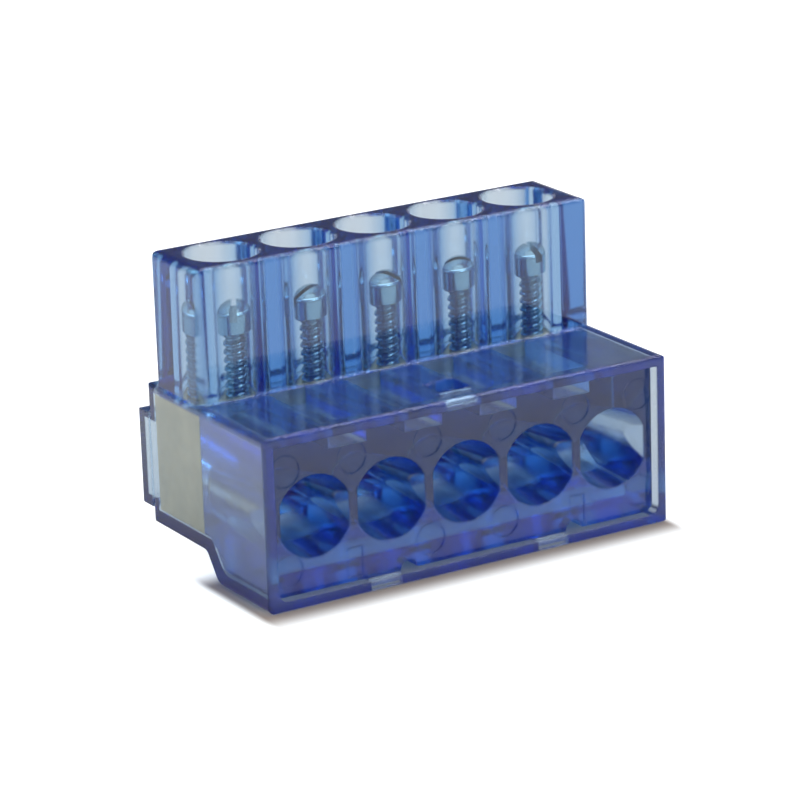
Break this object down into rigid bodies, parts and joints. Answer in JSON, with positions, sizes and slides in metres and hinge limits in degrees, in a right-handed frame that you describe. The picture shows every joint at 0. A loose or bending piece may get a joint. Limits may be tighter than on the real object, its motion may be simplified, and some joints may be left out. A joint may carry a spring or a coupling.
{
  "type": "equipotential terminal block",
  "caption": "Transparent blue terminal block that joins wires at one potential: a row of slotted clamp screws in guide tubes over a shared brass bar, with wire entries in front.",
  "frame": {"origin": "middle of the block's length and depth, at the level of the foot", "axes": "+X along the row of poles, wire entries face -Y, screws stand along +Z"},
  "size_m": [0.043, 0.0242, 0.0292],
  "materials": {
    "clear_blue_plastic": "transparent blue moulded polycarbonate, glossy",
    "brass": "extruded, sawn ends",
    "zinc_steel": "bright zinc plate"
  },
  "bodies": {
    "block": {"housing": "clear_blue_plastic", "front_cover": "clear_blue_plastic", "contact_bar": "brass"},
    "screw_1": {"clamp_screw_1": "zinc_steel"},
    "screw_2": {"clamp_screw_2": "zinc_steel"},
    "screw_3": {"clamp_screw_3": "zinc_steel"},
    "screw_4": {"clamp_screw_4": "zinc_steel"},
    "screw_5": {"clamp_screw_5": "zinc_steel"}
  },
  "joints": [
    {"name": "clamp_1", "type": "slide", "parent": "block", "child": "screw_1", "axis": [0, 0, -1], "range_m": [0, 0.0058]},
    {"name": "clamp_2", "type": "slide", "parent": "block", "child": "screw_2", "axis": [0, 0, -1], "range_m": [0, 0.0058]},
    {"name": "clamp_3", "type": "slide", "parent": "block", "child": "screw_3", "axis": [0, 0, -1], "range_m": [0, 0.0058]},
    {"name": "clamp_4", "type": "slide", "parent": "block", "child": "screw_4", "axis": [0, 0, -1], "range_m": [0, 0.0058]},
    {"name": "clamp_5", "type": "slide", "parent": "block", "child": "screw_5", "axis": [0, 0, -1], "range_m": [0, 0.0058]}
  ]
}
